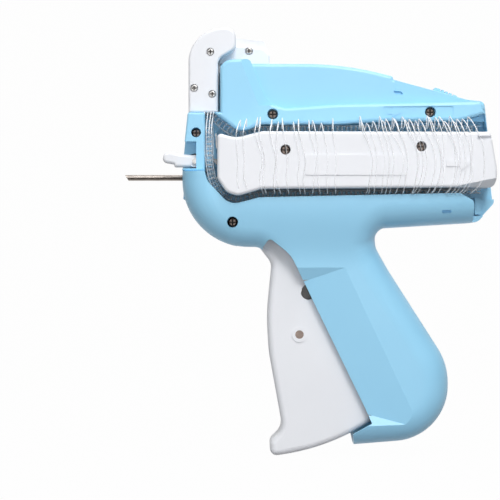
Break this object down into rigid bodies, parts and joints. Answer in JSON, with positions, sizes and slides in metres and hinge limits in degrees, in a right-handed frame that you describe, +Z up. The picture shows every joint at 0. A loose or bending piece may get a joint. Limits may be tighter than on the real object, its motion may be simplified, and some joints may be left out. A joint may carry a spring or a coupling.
{
  "type": "garment tag attacher",
  "caption": "Pistol-grip hand tool whose long trigger drives a rod through a hollow needle, with two strips of plastic tag fasteners laid over a side block.",
  "frame": {"origin": "on the needle's axis, at the front face of the nose", "axes": "-X along the needle, towards its tip; +X towards the feed end; +Z up through the upper head; -Y towards the side where the fasteners lie"},
  "size_m": [0.1397, 0.04, 0.161],
  "materials": {
    "blue_plastic": "satin light blue moulding",
    "white_plastic": "satin white moulding",
    "steel": "bright steel",
    "dark_steel": "plain steel, slightly dark",
    "brass": "plain brass",
    "clear_plastic": "clear to milky nylon",
    "black_rubber": "matt black",
    "grey_plastic": "grey acetal"
  },
  "bodies": {
    "root": {"near_casing": "blue_plastic", "far_casing": "blue_plastic", "upper_track_cover": "blue_plastic", "nose_block": "blue_plastic", "side_block": "white_plastic", "strip_guide_cover": "white_plastic", "strip_guide_back": "white_plastic", "track_plate": "blue_plastic", "needle": "steel", "needle_hub": "brass", "cutter_blade": "steel", "lock_pin": "steel", "trigger_pivot_pin": "steel", "lever_pivot_pin": "steel", "slide_rails": "dark_steel", "slide_buffer": "black_rubber", "rocker_pin": "steel", "anti_back_leaf": "steel", "return_spring": "steel", "spring_anchor_pin": "steel", "cover_screws": "steel", "block_screws": "steel", "guide_screws": "steel", "arm_screw": "steel", "nose_screw": "steel", "front_screw": "steel", "casing_screws": "steel", "upper_strip": "clear_plastic", "lower_strip": "clear_plastic", "fastener_filaments": "clear_plastic"},
    "trigger": {"trigger": "white_plastic", "link_pin": "steel"},
    "drive_lever": {"drive_lever": "dark_steel", "lever_top_pin": "steel"},
    "slide": {"slide_block": "grey_plastic", "rod_bracket": "brass", "feed_cam": "grey_plastic", "push_rod": "steel"},
    "feed_rocker": {"feed_rocker": "grey_plastic", "feed_pawl": "dark_steel"},
    "needle_lock": {"needle_lock_lever": "white_plastic"},
    "release": {"release_slider": "blue_plastic", "release_bar": "dark_steel"}
  },
  "joints": [
    {"name": "trigger_squeeze", "type": "hinge", "parent": "root", "child": "trigger", "pos_m": [0.0251, 0, -0.022], "axis": [0, -1, 0], "range_deg": [0, 20], "stiffness_Nm_per_rad": 1.2, "springref_deg": -28.65},
    {"name": "drive_lever_turn", "type": "hinge", "parent": "root", "child": "drive_lever", "pos_m": [0.053, 0, -0.0345], "axis": [0, -1, 0], "range_deg": [0, 28.8], "deforming": ["return_spring"]},
    {"name": "rod_stroke", "type": "slide", "parent": "root", "child": "slide", "axis": [-1, 0, 0], "range_m": [0, 0.033]},
    {"name": "feed_rocker_turn", "type": "hinge", "parent": "root", "child": "feed_rocker", "pos_m": [0.033, 0, 0.0036], "axis": [0, -1, 0], "range_deg": [0, 6]},
    {"name": "needle_lock_turn", "type": "hinge", "parent": "root", "child": "needle_lock", "pos_m": [0.0045, 0, 0.0059], "axis": [0, 1, 0], "range_deg": [0, 35]},
    {"name": "release_slide", "type": "slide", "parent": "root", "child": "release", "axis": [-0.9645, 0, 0.264], "range_m": [0, 0.005]}
  ],
  "couplings": [
    {"joint": "drive_lever_turn", "follows": "trigger_squeeze", "ratio": 1.44},
    {"joint": "rod_stroke", "follows": "trigger_squeeze", "m_per_rad": 0.094538},
    {"joint": "feed_rocker_turn", "follows": "trigger_squeeze", "ratio": 0.3}
  ]
}
